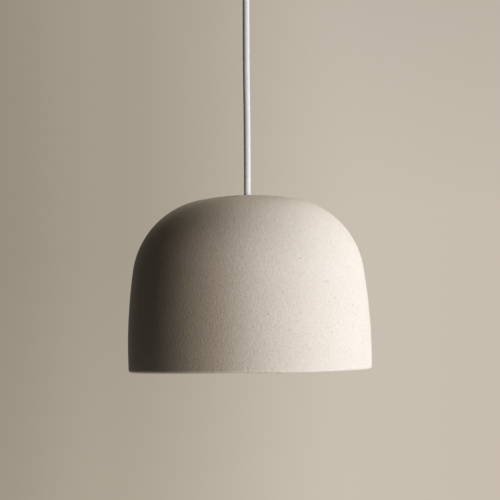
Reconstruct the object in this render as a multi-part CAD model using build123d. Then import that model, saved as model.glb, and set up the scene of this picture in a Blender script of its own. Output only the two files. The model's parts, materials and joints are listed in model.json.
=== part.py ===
from build123d import *
import math
import os

# Pendant ceiling light: a stoneware dome hung on a textile cable from a ceiling canopy.
# Millimetres. The origin is the middle of the ceiling plane, +Z is up, so everything hangs below z = 0.

# ---------------------------------------------------------------- driving dimensions

# Cable
CABLE_R = 3.3
LEAD_R = 1.1
LEAD_BEND_R = 2.3
CONDUCTOR_R = 0.8

# Canopy and its mounting plate
CANOPY_R = 50.0
CANOPY_H = 26.0
CANOPY_WALL = 1.2
CANOPY_CORNER_R = 8.0
PLATE_R = 42.0
PLATE_T = 1.5
FIXING_SPACING = 60.0
FIXING_SLOT_LENGTH = 12.0
FIXING_SLOT_WIDTH = 4.5
SUPPLY_HOLE_R = 7.0
SUPPLY_HOLE_Y = -24.0
EAR_FACE_X = 46.5
EAR_WIDTH = 12.0
EAR_DROP = 13.0
SIDE_SCREW_Z = -8.0
M4_R = 2.0
M3_R = 1.5
THREAD_GAP = 0.02

# Supply terminals under the mounting plate
TERMINAL_SIZE = (20.0, 18.0, 12.0)
TERMINAL_Y = 25.0
POLE_X = 5.5
POLE_Z = -8.0
CLAMP_R = 2.4
CLAMP_BORE_R = 1.35
EARTH_BLOCK = (8.0, 8.0, 9.0)
EARTH_BLOCK_AT = (20.0, -12.0)

# Cord grip in the canopy's floor
GRIP_R = 8.0
GRIP_STUB_R = 5.0
GRIP_BORE_R = 3.6
GRIP_MOUTH_R = 5.9
GRIP_STUB_TOP_Z = -19.0
GRIP_MOUTH_Z = -40.0
PIVOT_Z = -37.0
FLEX_R = 2.0
FLEX_GAP = 0.3
TAIL_TOP_Z = -15.0

# Stoneware shade: three tangent arcs, side, shoulder and crown
SHADE_R = 120.0
SHADE_H = 172.5
SHADE_WALL = 5.5
CROWN_Z = -255.0
SIDE_ARC_R = 548.0
SIDE_ARC_END = 8.8
SHOULDER_ARC_R = 82.7
SHOULDER_ARC_END = 79.9
RIM_OUTER_ROUND = 2.8
RIM_INNER_ROUND = 2.0
SEAT_R = 26.0
CORD_HOLE_R = 3.7

# Stack that carries the shade, from the seat under the crown downwards
GASKET_R = 24.0
GASKET_T = 1.5
SUPPORT_T = 2.0
SUPPORT_BOSS_R = 8.0
SUPPORT_BOSS_H = 5.0
NUT_FLATS = 14.0
NUT_H = 3.0
NIPPLE_R = 5.0
NIPPLE_BORE_R = 3.6
HOLDER_R = 19.5
HOLDER_WALL = 1.6
CAP_H = 26.0
CAP_NECK_H = 4.0
SPIGOT_H = 5.5
CORE_H = 7.0
SKIRT_LIP_R = 14.6

# E27 screw: knuckle thread as level circles set off the axis, a full turn round it per pitch
THREAD_PITCH = 3.629
THREAD_STEPS = 8
THREAD_OFFSET = 0.55
SHELL_R = 12.6
SHELL_T = 0.4
SOCKET_R = 12.95

# LED bulb
BULB_R = 30.0
BULB_NECK_R = 13.3
BULB_WALL = 1.6
OPAL_WALL = 1.5
BULB_TIP_Z = -316.3
BULB_BOTTOM_Z = -420.0
LED_BOARD_R = 25.8
LED_BOARD_T = 1.6
LED_COUNT = 12
LED_RING_R = 15.0

# ---------------------------------------------------------------- levels worked out from them

RIM_Z = CROWN_Z - SHADE_H
CUP_FLOOR_Z = -(CANOPY_H - CANOPY_WALL)
GRIP_NUT_TOP_Z = CUP_FLOOR_Z + 1.0 + NUT_H

SHOULDER_X = SHADE_R - SIDE_ARC_R + (SIDE_ARC_R - SHOULDER_ARC_R) * math.cos(math.radians(SIDE_ARC_END))
CROWN_ARC_R = SHOULDER_ARC_R + SHOULDER_X / math.cos(math.radians(SHOULDER_ARC_END))
CROWN_CENTRE_Z = CROWN_Z - CROWN_ARC_R
SHOULDER_Z = CROWN_CENTRE_Z + (CROWN_ARC_R - SHOULDER_ARC_R) * math.sin(math.radians(SHOULDER_ARC_END))
WIDEST_Z = SHOULDER_Z - (SIDE_ARC_R - SHOULDER_ARC_R) * math.sin(math.radians(SIDE_ARC_END))
SEAT_Z = CROWN_CENTRE_Z + math.sqrt((CROWN_ARC_R - SHADE_WALL) ** 2 - SEAT_R ** 2)

SUPPORT_TOP_Z = SEAT_Z - GASKET_T
BOSS_TOP_Z = SUPPORT_TOP_Z - SUPPORT_T
BOSS_BOTTOM_Z = BOSS_TOP_Z - SUPPORT_BOSS_H
LOCKNUT_BOTTOM_Z = BOSS_BOTTOM_Z - NUT_H
CAP_TOP_Z = LOCKNUT_BOTTOM_Z - 1.0
CAP_BOTTOM_Z = CAP_TOP_Z - CAP_H
NIPPLE_TOP_Z = SEAT_Z - 1.0
NIPPLE_BOTTOM_Z = CAP_TOP_Z - 9.5
CLAMP_TOP_Z = NIPPLE_BOTTOM_Z - 0.5
CLAMP_BLOCK = (24.0, 6.0, 7.0)
CORD_END_Z = CLAMP_TOP_Z - CLAMP_BLOCK[2] - 2.0
SPIGOT_BOTTOM_Z = CAP_BOTTOM_Z - SPIGOT_H
CORE_TOP_Z = SPIGOT_BOTTOM_Z - 0.3
CORE_BOTTOM_Z = CORE_TOP_Z - CORE_H
SKIRT_BOTTOM_Z = CORE_BOTTOM_Z - 32.0
LEAD_END_Z = CORE_TOP_Z + 3.5
LEAD_END_X = 8.0

INSULATOR_BOTTOM_Z = BULB_TIP_Z - 9.0
SHELL_TOP_Z = BULB_TIP_Z - 6.0
SHELL_BOTTOM_Z = SHELL_TOP_Z - 21.0
GLOBE_Z = BULB_BOTTOM_Z + BULB_R
BODY_BOTTOM_Z = GLOBE_Z + 8.0

UPRIGHT = (Align.CENTER, Align.CENTER, Align.MIN)


# ---------------------------------------------------------------- helpers

def rod(radius, z_low, z_high, x=0.0, y=0.0):
    """Upright round bar between two levels."""
    return Pos(x, y, z_low) * Cylinder(radius, z_high - z_low, align=UPRIGHT)


def tube(outer, inner, z_low, z_high):
    """Upright pipe between two levels."""
    return rod(outer, z_low, z_high) - rod(inner, z_low - 1, z_high + 1)


def aimed(solid, at, along):
    """Carry a solid drawn along +Z from the origin to a point, aimed along a direction."""
    return Plane(origin=at, z_dir=along).location * solid


def drill(radius, at, along, length):
    """Round bar from a point along a direction, for holes and pins."""
    return aimed(Cylinder(radius, length, align=UPRIGHT), at, along)


def block(size, centre_x, centre_y, z_top):
    """Box hanging below a level."""
    return Pos(centre_x, centre_y, z_top) * Box(*size, align=(Align.CENTER, Align.CENTER, Align.MAX))


def turned(points, rounds=None):
    """Solid of revolution about Z. rounds gives the radius of each corner that isn't sharp, by its index."""
    outline = make_face(Polyline(*points, close=True))
    for index, radius in (rounds or {}).items():
        corner = outline.vertices().sort_by_distance(Vector(*points[index], 0))[0]
        outline = fillet(corner, radius)
    return revolve(Plane.XZ * outline, Axis.Z)


def hex_nut(bore, z_low, z_high):
    """Hexagon nut on the Z axis, with its corners chamfered by a cone."""
    height = z_high - z_low
    corner_r = NUT_FLATS / math.sqrt(3)
    body = Pos(0, 0, z_low) * extrude(RegularPolygon(corner_r, 6), height)
    chamfer_cone = turned([(0, z_low - 2), (corner_r + 1, z_low - 2), (corner_r + 1, z_high - 1.0),
                           (corner_r - 1.2, z_high), (0, z_high)])
    return (body & chamfer_cone) - rod(bore, z_low - 1, z_high + 1)


def pan_screw(shank_r, length, head_r, head_h):
    """Slotted pan-head screw. Its shank runs along +Z from the head's seat at the origin."""
    head = Pos(0, 0, -head_h) * Cylinder(head_r, head_h, align=UPRIGHT)
    head = fillet(head.edges().sort_by(Axis.Z)[0], head_h * 0.45)
    slot = Pos(0, 0, -head_h) * Box(head_r * 3, 0.8, head_h)
    return head - slot + Cylinder(shank_r, length, align=UPRIGHT)


def grub_screw(radius, length):
    """Headless screw along +Z, with a hexagon socket in the end at the origin."""
    body = Cylinder(radius, length, align=UPRIGHT)
    return body - extrude(RegularPolygon(radius * 0.55, 6), length * 0.4)


def lead(points):
    """Insulated lead that runs through the points with equal round bends."""
    route = FilletPolyline(*points, radius=LEAD_BEND_R)
    return sweep(Plane(origin=route @ 0, z_dir=route % 0) * Circle(LEAD_R), path=route)


def knuckle_ring(radius, z):
    """Level circle whose centre stands off the axis and goes once round it, right-handed, per pitch."""
    angle = 2 * math.pi * z / THREAD_PITCH
    centre = (THREAD_OFFSET * math.cos(angle), THREAD_OFFSET * math.sin(angle), z)
    return Wire([Edge.make_circle(radius, Plane(centre))])


def knuckle_shell(inner, outer, z_low, z_high):
    """Thin screw shell, ruled from ring to ring."""
    count = math.ceil((z_high - z_low) / THREAD_PITCH * THREAD_STEPS)
    levels = [z_low + (z_high - z_low) * step / count for step in range(count + 1)]
    shell, hollow = [Solid.make_loft([knuckle_ring(radius, z) for z in levels], ruled=True)
                     for radius in (outer, inner)]
    return shell - hollow


# ---------------------------------------------------------------- ceiling side

def mounting_plate():
    """Steel plate screwed to the ceiling. Two ears bent down from it take the canopy's side screws."""
    plate = rod(PLATE_R, -PLATE_T, 0)
    for side in (-1, 1):
        tongue_length = EAR_FACE_X - PLATE_R + 3
        plate += block((tongue_length, EAR_WIDTH, PLATE_T), side * (EAR_FACE_X - tongue_length / 2), 0, 0)
        plate += block((PLATE_T, EAR_WIDTH, EAR_DROP), side * (EAR_FACE_X - PLATE_T / 2), 0, 0)
        slot = extrude(SlotOverall(FIXING_SLOT_LENGTH, FIXING_SLOT_WIDTH), 3 * PLATE_T, both=True)
        plate -= Pos(side * FIXING_SPACING / 2, 0, 0) * slot
        plate -= drill(M4_R + THREAD_GAP, (side * (EAR_FACE_X - 3), 0, SIDE_SCREW_Z), (side, 0, 0), 6)
    plate -= rod(SUPPLY_HOLE_R, -5, 5, y=SUPPLY_HOLE_Y)
    return plate - rod(M3_R + THREAD_GAP, -5, 5, y=TERMINAL_Y)


def canopy_cup():
    """Pressed cup that hides the mounting plate and carries the cord grip in its floor."""
    inner_r = CANOPY_R - CANOPY_WALL
    outer = turned([(0, 0), (CANOPY_R, 0), (CANOPY_R, -CANOPY_H), (0, -CANOPY_H)], {2: CANOPY_CORNER_R})
    hollow = turned([(0, 1), (inner_r, 1), (inner_r, CUP_FLOOR_Z), (0, CUP_FLOOR_Z)],
                    {2: CANOPY_CORNER_R - CANOPY_WALL})
    cup = outer - hollow - rod(GRIP_STUB_R + 0.1, -CANOPY_H - 1, 0)
    for side in (-1, 1):
        cup -= drill(M4_R + 0.25, (side * (CANOPY_R - 5), 0, SIDE_SCREW_Z), (side, 0, 0), 10)
    return cup


def canopy_screws():
    """Two screws through the canopy's side into the ears."""
    screw = pan_screw(M4_R, 6.5, 3.8, 2.2)
    return Part() + [aimed(screw, (side * CANOPY_R, 0, SIDE_SCREW_Z), (-side, 0, 0)) for side in (-1, 1)]


def cord_grip_body():
    """Turned cord grip with a threaded stub, and a bell mouth that lets the cable swing without chafing."""
    floor_z = -CANOPY_H
    funnel_top_z = PIVOT_Z + 2.0
    body = turned([
        (GRIP_BORE_R, GRIP_STUB_TOP_Z), (GRIP_STUB_R, GRIP_STUB_TOP_Z), (GRIP_STUB_R, floor_z),
        (GRIP_R, floor_z), (GRIP_R, GRIP_MOUTH_Z + 4), (GRIP_R - 1.0, GRIP_MOUTH_Z),
        (GRIP_MOUTH_R, GRIP_MOUTH_Z), (GRIP_BORE_R + 0.9, PIVOT_Z), (GRIP_BORE_R, funnel_top_z),
    ], {5: 0.5, 4: 1.5, 3: 0.5})
    return body - drill(M3_R + THREAD_GAP, (0, 0, grip_screw_z()), (0, -1, 0), GRIP_R + 2)


def grip_screw_z():
    """Level of the screw that pinches the cable in the grip."""
    return -CANOPY_H - 4.5


def cord_grip_washer():
    """Plain washer on the canopy's floor."""
    return tube(GRIP_STUB_R + 4, GRIP_STUB_R + THREAD_GAP, CUP_FLOOR_Z, CUP_FLOOR_Z + 1.0)


def cord_grip_locknut():
    """Hexagon nut that holds the grip in the canopy's floor."""
    return hex_nut(GRIP_STUB_R + THREAD_GAP, CUP_FLOOR_Z + 1.0, GRIP_NUT_TOP_Z)


def cord_grip_screw():
    """Grub screw that pinches the cable in the grip."""
    return aimed(grub_screw(M3_R, GRIP_R - CABLE_R - 0.4), (0, -(GRIP_R - 0.4), grip_screw_z()), (0, 1, 0))


def cable_tail_canopy():
    """Sheathed end of the cable inside the grip."""
    return rod(CABLE_R, PIVOT_Z + FLEX_R + FLEX_GAP, TAIL_TOP_Z)


def terminal_block():
    """Moulded body of the two-pole supply terminal, with wire entries through it and screw wells below."""
    body = block(TERMINAL_SIZE, 0, TERMINAL_Y, -PLATE_T)
    body = fillet(body.edges().filter_by(Axis.Z), 1.0)
    near_y = TERMINAL_Y - TERMINAL_SIZE[1] / 2
    for pole_x in (-POLE_X, POLE_X):
        body -= drill(CLAMP_R + 0.05, (pole_x, near_y - 1, POLE_Z), (0, 1, 0), TERMINAL_SIZE[1] + 2)
        for screw_y in terminal_screw_rows():
            body -= rod(1.9, -PLATE_T - TERMINAL_SIZE[2] - 1, POLE_Z, pole_x, screw_y)
    return body - rod(M3_R + 0.1, -20, 0, y=TERMINAL_Y)


def terminal_screw_rows():
    """Where the terminal's screws stand along Y: the lamp's side and the supply's side."""
    return (TERMINAL_Y - 5.5, TERMINAL_Y + 5.5)


def terminal_clamps():
    """Two brass clamps, each bored from both ends with a web between."""
    clamps = []
    for pole_x in (-POLE_X, POLE_X):
        start = (pole_x, TERMINAL_Y - 8, POLE_Z)
        clamp = drill(CLAMP_R, start, (0, 1, 0), 16)
        clamp -= drill(CLAMP_BORE_R, start, (0, 1, 0), 7)
        clamp -= drill(CLAMP_BORE_R, (pole_x, TERMINAL_Y + 8, POLE_Z), (0, -1, 0), 7)
        for screw_y in terminal_screw_rows():
            clamp -= rod(M3_R + THREAD_GAP, POLE_Z - CLAMP_R - 1, POLE_Z, pole_x, screw_y)
        clamps.append(clamp)
    return Part() + clamps


def terminal_screws():
    """Clamp screws: tight on the lamp's own conductors, backed off on the supply's side."""
    screws = []
    for pole_x in (-POLE_X, POLE_X):
        for screw_y, tip_z in zip(terminal_screw_rows(), (POLE_Z - CONDUCTOR_R, POLE_Z - CLAMP_BORE_R)):
            screws.append(aimed(grub_screw(M3_R, 4.2), (pole_x, screw_y, tip_z - 4.2), (0, 0, 1)))
    return Part() + screws


def terminal_fixing_screw():
    """Screw that holds the terminal block up to the mounting plate."""
    seat_z = -PLATE_T - TERMINAL_SIZE[2]
    return aimed(pan_screw(M3_R, TERMINAL_SIZE[2] + PLATE_T, 2.6, 1.8), (0, TERMINAL_Y, seat_z), (0, 0, 1))


def earth_terminal():
    """Brass earth block brazed to the mounting plate."""
    x, y = EARTH_BLOCK_AT
    body = block(EARTH_BLOCK, x, y, -PLATE_T)
    body -= drill(CLAMP_BORE_R, (x - 5, y, POLE_Z + 1), (1, 0, 0), 8)
    return body - rod(M3_R + THREAD_GAP, -15, POLE_Z + 1, x, y)


def earth_screw():
    """Clamp screw of the earth block."""
    x, y = EARTH_BLOCK_AT
    seat_z = -PLATE_T - EARTH_BLOCK[2]
    length = POLE_Z + 1 - CONDUCTOR_R - seat_z
    return aimed(pan_screw(M3_R, length, 2.8, 1.8), (x, y, seat_z), (0, 0, 1))


def canopy_leads():
    """The cable's three cores from its end to the terminals in the canopy."""
    near_y = TERMINAL_Y - TERMINAL_SIZE[1] / 2
    earth_x, earth_y = EARTH_BLOCK_AT
    live = [(-1.7, 0.9, TAIL_TOP_Z), (-1.7, 0.9, POLE_Z), (-POLE_X, 8, POLE_Z), (-POLE_X, near_y + 1, POLE_Z)]
    neutral = [(1.7, 0.9, TAIL_TOP_Z), (1.7, 0.9, POLE_Z), (POLE_X, 8, POLE_Z), (POLE_X, near_y + 1, POLE_Z)]
    earth = [(0, -1.9, TAIL_TOP_Z), (0, -1.9, POLE_Z + 1), (7, earth_y, POLE_Z + 1),
             (earth_x - EARTH_BLOCK[0] / 2, earth_y, POLE_Z + 1)]
    return {"lead_live_canopy": lead(live), "lead_neutral_canopy": lead(neutral), "lead_earth_canopy": lead(earth)}


def canopy_conductors():
    """Bared ends of the three cores in their clamps."""
    near_y = TERMINAL_Y - TERMINAL_SIZE[1] / 2
    earth_x, earth_y = EARTH_BLOCK_AT
    ends = [drill(CONDUCTOR_R, (pole_x, near_y + 1, POLE_Z), (0, 1, 0), 6.5) for pole_x in (-POLE_X, POLE_X)]
    ends.append(drill(CONDUCTOR_R, (earth_x - EARTH_BLOCK[0] / 2, earth_y, POLE_Z + 1), (1, 0, 0), 6.5))
    return Part() + ends


# ---------------------------------------------------------------- cable

# The cable hangs all but straight, with the faint set of a cord that was once coiled.
CABLE_ROUTE = [
    (0.0, 0.0, PIVOT_Z),
    (-0.45, 0.0, -122.0),
    (0.35, 0.0, -190.0),
    (0.0, 0.0, CROWN_Z),
]


def cable_bend_radii():
    """Arc at each inner point of the route: 0.45 of its shorter run over the tangent of half its turn."""
    radii = []
    for before, at, after in zip(CABLE_ROUTE, CABLE_ROUTE[1:], CABLE_ROUTE[2:]):
        run_in = Vector(*at) - Vector(*before)
        run_out = Vector(*after) - Vector(*at)
        half_turn = math.radians(run_in.get_angle(run_out)) / 2
        radii.append(0.45 * min(run_in.length, run_out.length) / math.tan(half_turn))
    return radii


def cable():
    """The free length of the cable, from the flex point in the grip to the crown of the shade."""
    radii = cable_bend_radii()
    route = FilletPolyline(*CABLE_ROUTE, radius=radii)
    body = sweep(Plane(origin=route @ 0, z_dir=route % 0) * Circle(CABLE_R), path=route)
    expected = math.pi * CABLE_R ** 2 * route.length
    print("cable radii", [round(radius) for radius in radii], "length", round(route.length, 1))
    print("cable volume over section times length", round(body.volume / expected, 4))
    return body - Pos(0, 0, PIVOT_Z) * Sphere(FLEX_R + FLEX_GAP)


def cable_flex_core():
    """Point in the grip's mouth where the cable bends as the lamp swings."""
    return Pos(0, 0, PIVOT_Z) * Sphere(FLEX_R)


def cable_tail_shade():
    """Sheathed end of the cable from the crown down to the clamp in the lampholder's cap."""
    return rod(CABLE_R, CORD_END_Z, CROWN_Z)


# ---------------------------------------------------------------- shade and what carries it

def arc(centre, radius, start, end):
    """Arc about a centre between two angles in degrees."""
    return CenterArc(centre, radius, start, end - start)


def shade():
    """Cast stoneware dome, open below, with a flat seat under the crown and one small hole for the cable."""
    side = (SHADE_R - SIDE_ARC_R, WIDEST_Z)
    shoulder = (SHOULDER_X, SHOULDER_Z)
    crown = (0, CROWN_CENTRE_Z)
    inner_side_r = SIDE_ARC_R - SHADE_WALL
    inner_shoulder_r = SHOULDER_ARC_R - SHADE_WALL
    inner_crown_r = CROWN_ARC_R - SHADE_WALL
    rim_outer = math.degrees(math.asin((RIM_Z - WIDEST_Z) / SIDE_ARC_R))
    rim_inner = math.degrees(math.asin((RIM_Z - WIDEST_Z) / inner_side_r))
    hole_edge = math.degrees(math.acos(CORD_HOLE_R / CROWN_ARC_R))
    seat_edge = math.degrees(math.acos(SEAT_R / inner_crown_r))

    outer = [arc(side, SIDE_ARC_R, rim_outer, SIDE_ARC_END),
             arc(shoulder, SHOULDER_ARC_R, SIDE_ARC_END, SHOULDER_ARC_END),
             arc(crown, CROWN_ARC_R, SHOULDER_ARC_END, hole_edge)]
    inner = [arc(crown, inner_crown_r, seat_edge, SHOULDER_ARC_END),
             arc(shoulder, inner_shoulder_r, SHOULDER_ARC_END, SIDE_ARC_END),
             arc(side, inner_side_r, SIDE_ARC_END, rim_inner)]
    hole_and_seat = Polyline(outer[-1] @ 1, (CORD_HOLE_R, SEAT_Z), (SEAT_R, SEAT_Z))
    rim = Line(inner[-1] @ 1, outer[0] @ 0)
    outline = make_face(Curve() + outer + [hole_and_seat] + inner + [rim])
    for corner, radius in ((outer[0] @ 0, RIM_OUTER_ROUND), (inner[-1] @ 1, RIM_INNER_ROUND),
                           (outer[-1] @ 1, 0.6)):
        outline = fillet(outline.vertices().sort_by_distance(corner)[0], radius)
    return revolve(Plane.XZ * outline, Axis.Z)


def shade_gasket():
    """Silicone ring between the stoneware and the steel."""
    return tube(GASKET_R, NIPPLE_R + 2.5, SUPPORT_TOP_Z, SEAT_Z)


def support_disc():
    """Steel disc that the shade rests on, with a tapped boss under it."""
    body = rod(GASKET_R, BOSS_TOP_Z, SUPPORT_TOP_Z) + rod(SUPPORT_BOSS_R, BOSS_BOTTOM_Z, BOSS_TOP_Z)
    return body - rod(NIPPLE_R + THREAD_GAP, BOSS_BOTTOM_Z - 1, SUPPORT_TOP_Z + 1)


def nipple():
    """Hollow threaded tube that joins the disc to the lampholder's cap."""
    return tube(NIPPLE_R, NIPPLE_BORE_R, NIPPLE_BOTTOM_Z, NIPPLE_TOP_Z)


def nipple_locknut():
    """Hexagon nut that locks the nipple under the disc's boss."""
    return hex_nut(NIPPLE_R + THREAD_GAP, LOCKNUT_BOTTOM_Z, BOSS_BOTTOM_Z)


# ---------------------------------------------------------------- lampholder

def holder_cap():
    """Turned metal cap of the lampholder, with a threaded spigot for the skirt."""
    neck_bottom_z = CAP_TOP_Z - CAP_NECK_H
    roof_z = CAP_TOP_Z - 9.0
    spigot_r = HOLDER_R - HOLDER_WALL
    cavity_r = spigot_r - 1.5
    body = turned([
        (NIPPLE_R + THREAD_GAP, CAP_TOP_Z), (SUPPORT_BOSS_R, CAP_TOP_Z), (SUPPORT_BOSS_R, neck_bottom_z),
        (HOLDER_R, neck_bottom_z), (HOLDER_R, CAP_BOTTOM_Z), (spigot_r, CAP_BOTTOM_Z),
        (spigot_r, SPIGOT_BOTTOM_Z), (cavity_r, SPIGOT_BOTTOM_Z), (cavity_r, roof_z),
        (NIPPLE_R + THREAD_GAP, roof_z),
    ], {3: 5.0, 2: 1.5, 1: 0.8, 8: 1.0})
    return body - drill(M3_R + THREAD_GAP, (0, 0, cap_screw_z()), (0, 1, 0), SUPPORT_BOSS_R + 2)


def cap_screw_z():
    """Level of the grub screw that stops the cap turning on the nipple."""
    return CAP_TOP_Z - 2.0


def holder_cap_screw():
    """Grub screw that stops the cap turning on the nipple."""
    length = SUPPORT_BOSS_R - NIPPLE_R - THREAD_GAP - 0.2
    return aimed(grub_screw(M3_R, length), (0, SUPPORT_BOSS_R - 0.2, cap_screw_z()), (0, -1, 0))


def cable_clamp_halves():
    """The clamp's two halves. It is wider than the nipple, so the cable can't pull out of the lamp."""
    halves = []
    for side in (-1, 1):
        half = block(CLAMP_BLOCK, 0, side * (0.4 + CLAMP_BLOCK[1] / 2), CLAMP_TOP_Z)
        half = fillet(half.edges().filter_by(Axis.Z), 1.2)
        half -= rod(CABLE_R, CORD_END_Z - 5, CLAMP_TOP_Z + 5)
        for screw_x in clamp_screw_places():
            half -= drill(M3_R + THREAD_GAP, (screw_x, -10, clamp_screw_z()), (0, 1, 0), 20)
        halves.append(half)
    return {"cable_clamp_front": halves[0], "cable_clamp_back": halves[1]}


def clamp_screw_places():
    """Where the clamp's screws stand along X."""
    return (-8.0, 8.0)


def clamp_screw_z():
    """Level of the clamp's screws."""
    return CLAMP_TOP_Z - CLAMP_BLOCK[2] / 2


def cable_clamp_screws():
    """Two screws that draw the clamp's halves together."""
    front_y = -(0.4 + CLAMP_BLOCK[1])
    screw = pan_screw(M3_R, 2 * CLAMP_BLOCK[1] + 0.8, 2.6, 1.6)
    return Part() + [aimed(screw, (x, front_y, clamp_screw_z()), (0, 1, 0)) for x in clamp_screw_places()]


def holder_core():
    """Porcelain core: a disc that carries the terminals and a wall around the screw shell."""
    outer_r = HOLDER_R - HOLDER_WALL - 0.1
    body = rod(outer_r, CORE_BOTTOM_Z, CORE_TOP_Z) + tube(outer_r, SKIRT_LIP_R, SKIRT_BOTTOM_Z + 4, CORE_BOTTOM_Z)
    return fillet(body.edges().filter_by(GeomType.CIRCLE).sort_by(Axis.Z)[-1], 0.8)


def holder_skirt():
    """Outer sleeve of the lampholder, screwed on the cap's spigot, with an inward lip under the core."""
    inner_r = HOLDER_R - HOLDER_WALL + THREAD_GAP
    return turned([
        (inner_r, CAP_BOTTOM_Z), (HOLDER_R, CAP_BOTTOM_Z), (HOLDER_R, SKIRT_BOTTOM_Z),
        (SKIRT_LIP_R, SKIRT_BOTTOM_Z), (SKIRT_LIP_R, SKIRT_BOTTOM_Z + 3), (inner_r, SKIRT_BOTTOM_Z + 3),
    ], {2: 2.0, 3: 0.6})


def thread_shell():
    """Plated screw shell of the lampholder."""
    return knuckle_shell(SOCKET_R, SOCKET_R + SHELL_T, SKIRT_BOTTOM_Z + 6, CORE_BOTTOM_Z)


def centre_contact():
    """Sprung brass tongue under the core that meets the bulb's tip."""
    foot_z = CORE_BOTTOM_Z
    tip_z = BULB_TIP_Z + 0.25
    tongue = Polyline((-9, foot_z), (-3, foot_z), (1.5, tip_z + 0.5), (5, tip_z + 0.5),
                      (5, tip_z), (1.2, tip_z), (-3.3, foot_z - 0.5), (-9, foot_z - 0.5), close=True)
    return extrude(Plane.XZ * make_face(tongue), 2.5, both=True)


def holder_terminals():
    """Two brass terminals on the core, for the live and neutral cores."""
    blocks = []
    for side in (-1, 1):
        body = block((6, 7, 7), side * 11, 0, CORE_TOP_Z + 7)
        body -= drill(CLAMP_BORE_R, (side * 7, 0, LEAD_END_Z), (side, 0, 0), 6)
        blocks.append(body - rod(M3_R + THREAD_GAP, LEAD_END_Z, CORE_TOP_Z + 8, side * 11))
    return Part() + blocks


def holder_terminal_screws():
    """Clamp screws of the holder's terminals."""
    tip_z = LEAD_END_Z + CONDUCTOR_R
    return Part() + [aimed(grub_screw(M3_R, 3.4), (side * 11, 0, tip_z + 3.4), (0, 0, -1)) for side in (-1, 1)]


def cap_earth_terminal():
    """Brass earth block on the cap's inner wall."""
    wall_r = HOLDER_R - HOLDER_WALL - 1.5
    body = block((6, 6, 6), 0, wall_r - 2.5, cap_earth_z() + 3)
    body &= rod(wall_r, CORE_TOP_Z, CAP_TOP_Z)
    return body - drill(CLAMP_BORE_R, (0, wall_r - 6, cap_earth_z()), (0, 1, 0), 5)


def cap_earth_z():
    """Level of the earth core in the cap."""
    return CORD_END_Z - 4.0


def shade_leads():
    """The cable's three cores from its lower end to the terminals in the lampholder."""
    wall_r = HOLDER_R - HOLDER_WALL - 1.5
    live = [(-1.75, -0.6, CORD_END_Z), (-1.75, -0.6, LEAD_END_Z), (-LEAD_END_X, 0, LEAD_END_Z)]
    neutral = [(1.75, -0.6, CORD_END_Z), (1.75, -0.6, LEAD_END_Z), (LEAD_END_X, 0, LEAD_END_Z)]
    earth = [(0, 1.9, CORD_END_Z), (0, 1.9, cap_earth_z()), (0, wall_r - 5.5, cap_earth_z())]
    return {"lead_live_shade": lead(live), "lead_neutral_shade": lead(neutral), "lead_earth_shade": lead(earth)}


def shade_conductors():
    """Bared ends of the three cores in the lampholder's terminals, just clear of the slanting insulation."""
    wall_r = HOLDER_R - HOLDER_WALL - 1.5
    start_x = LEAD_END_X + 0.15
    ends = [drill(CONDUCTOR_R, (side * start_x, 0, LEAD_END_Z), (side, 0, 0), 4.35) for side in (-1, 1)]
    ends.append(drill(CONDUCTOR_R, (0, wall_r - 5.5, cap_earth_z()), (0, 1, 0), 4))
    return Part() + ends


# ---------------------------------------------------------------- bulb

def bulb_contact():
    """Tip contact of the bulb."""
    return turned([(0, BULB_TIP_Z), (3.5, BULB_TIP_Z), (5.0, BULB_TIP_Z - 1.5), (0, BULB_TIP_Z - 1.5)], {1: 1.0})


def bulb_insulator():
    """Insulator between the tip contact and the screw shell."""
    cone_top_z = BULB_TIP_Z - 1.5
    return turned([(0, cone_top_z), (5.2, cone_top_z), (11.4, SHELL_TOP_Z + 0.5), (11.4, INSULATOR_BOTTOM_Z),
                   (0, INSULATOR_BOTTOM_Z)], {2: 1.0, 1: 0.4})


def bulb_cap_shell():
    """Plated screw shell of the bulb."""
    return knuckle_shell(SHELL_R - SHELL_T, SHELL_R, SHELL_BOTTOM_Z, SHELL_TOP_Z)


def bulb_body():
    """Moulded body of the bulb: a plug inside the screw shell, and a flared hollow cone that holds the driver."""
    flare_top_z = SHELL_BOTTOM_Z - 4.0
    outer = [(0, SHELL_BOTTOM_Z + 14), (11.5, SHELL_BOTTOM_Z + 14), (11.5, SHELL_BOTTOM_Z),
             (BULB_NECK_R, SHELL_BOTTOM_Z), (BULB_NECK_R, flare_top_z), (24.0, BODY_BOTTOM_Z + 12),
             (28.6, BODY_BOTTOM_Z), (0, BODY_BOTTOM_Z)]
    inner = [(0, SHELL_BOTTOM_Z + 10), (9.5, SHELL_BOTTOM_Z + 10), (9.5, SHELL_BOTTOM_Z - 2),
             (BULB_NECK_R - BULB_WALL, flare_top_z - 1), (24.0 - BULB_WALL, BODY_BOTTOM_Z + 11.5),
             (28.6 - BULB_WALL, BODY_BOTTOM_Z - 1), (0, BODY_BOTTOM_Z - 1)]
    return turned(outer, {4: 4.0, 5: 14.0}) - turned(inner, {4: 12.0})


def bulb_diffuser():
    """Opal dome of the bulb, more than half a sphere, open at the LED board."""
    rise = BODY_BOTTOM_Z - GLOBE_Z
    start = math.degrees(math.asin(rise / BULB_R))
    outer_r_at_top = BULB_R * math.cos(math.radians(start))
    inner_r = BULB_R - OPAL_WALL
    inner_start = math.degrees(math.asin(rise / inner_r))
    outer_arc = arc((0, GLOBE_Z), BULB_R, start, -90)
    inner_arc = arc((0, GLOBE_Z), inner_r, -90, inner_start)
    top = Line((inner_r * math.cos(math.radians(inner_start)), BODY_BOTTOM_Z), (outer_r_at_top, BODY_BOTTOM_Z))
    bottom = Line((0, GLOBE_Z - BULB_R), (0, GLOBE_Z - inner_r))
    return revolve(Plane.XZ * make_face(Curve() + [outer_arc, bottom, inner_arc, top]), Axis.Z)


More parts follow.
